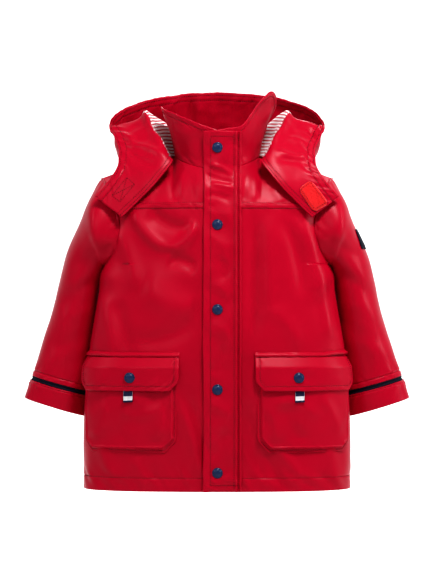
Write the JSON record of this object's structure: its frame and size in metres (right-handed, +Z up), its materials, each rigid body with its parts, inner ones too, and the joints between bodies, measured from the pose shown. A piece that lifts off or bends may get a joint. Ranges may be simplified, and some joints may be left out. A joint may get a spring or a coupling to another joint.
{
  "type": "kids rain jacket",
  "caption": "Hooded rain jacket for a small child in coated cloth, with storm flap, patch pockets and laid-back hood, worn shape, open at hem, cuffs and neck.",
  "frame": {"origin": "centre of the body at the height of the neck seam, where the wearer's shoulders hold the jacket", "axes": "+Z up, the front faces -Y, the wearer's left is +X"},
  "size_m": [0.5706, 0.2359, 0.5907],
  "materials": {
    "coated_cloth": "semi-gloss coated cloth, red",
    "striped_jersey": "white and red striped cotton jersey, matt",
    "piping": "navy woven piping, matt",
    "tape": "navy and white woven tape",
    "label": "navy woven label",
    "loop_tape": "red loop pile",
    "snap": "navy moulded cap"
  },
  "bodies": {
    "root": {"front_right": "coated_cloth", "yoke_right": "coated_cloth", "sleeve_right": "coated_cloth", "cuff_right": "coated_cloth", "pocket_bag_right": "coated_cloth", "pocket_flap_right": "coated_cloth", "pocket_welt_right": "coated_cloth", "piping_right": "piping", "pocket_snap_right": "snap", "pocket_tab_right": "tape", "front_left": "coated_cloth", "yoke_left": "coated_cloth", "sleeve_left": "coated_cloth", "cuff_left": "coated_cloth", "pocket_bag_left": "coated_cloth", "pocket_flap_left": "coated_cloth", "pocket_welt_left": "coated_cloth", "piping_left": "piping", "pocket_snap_left": "snap", "pocket_tab_left": "tape", "back": "coated_cloth", "collar": "coated_cloth", "storm_flap": "coated_cloth", "hood_shell": "coated_cloth", "hood_facing": "coated_cloth", "hood_lining": "striped_jersey", "loop_patch": "loop_tape", "arm_label": "label", "snap_1": "snap", "snap_2": "snap", "snap_3": "snap", "snap_4": "snap", "snap_5": "snap"}
  },
  "joints": []
}
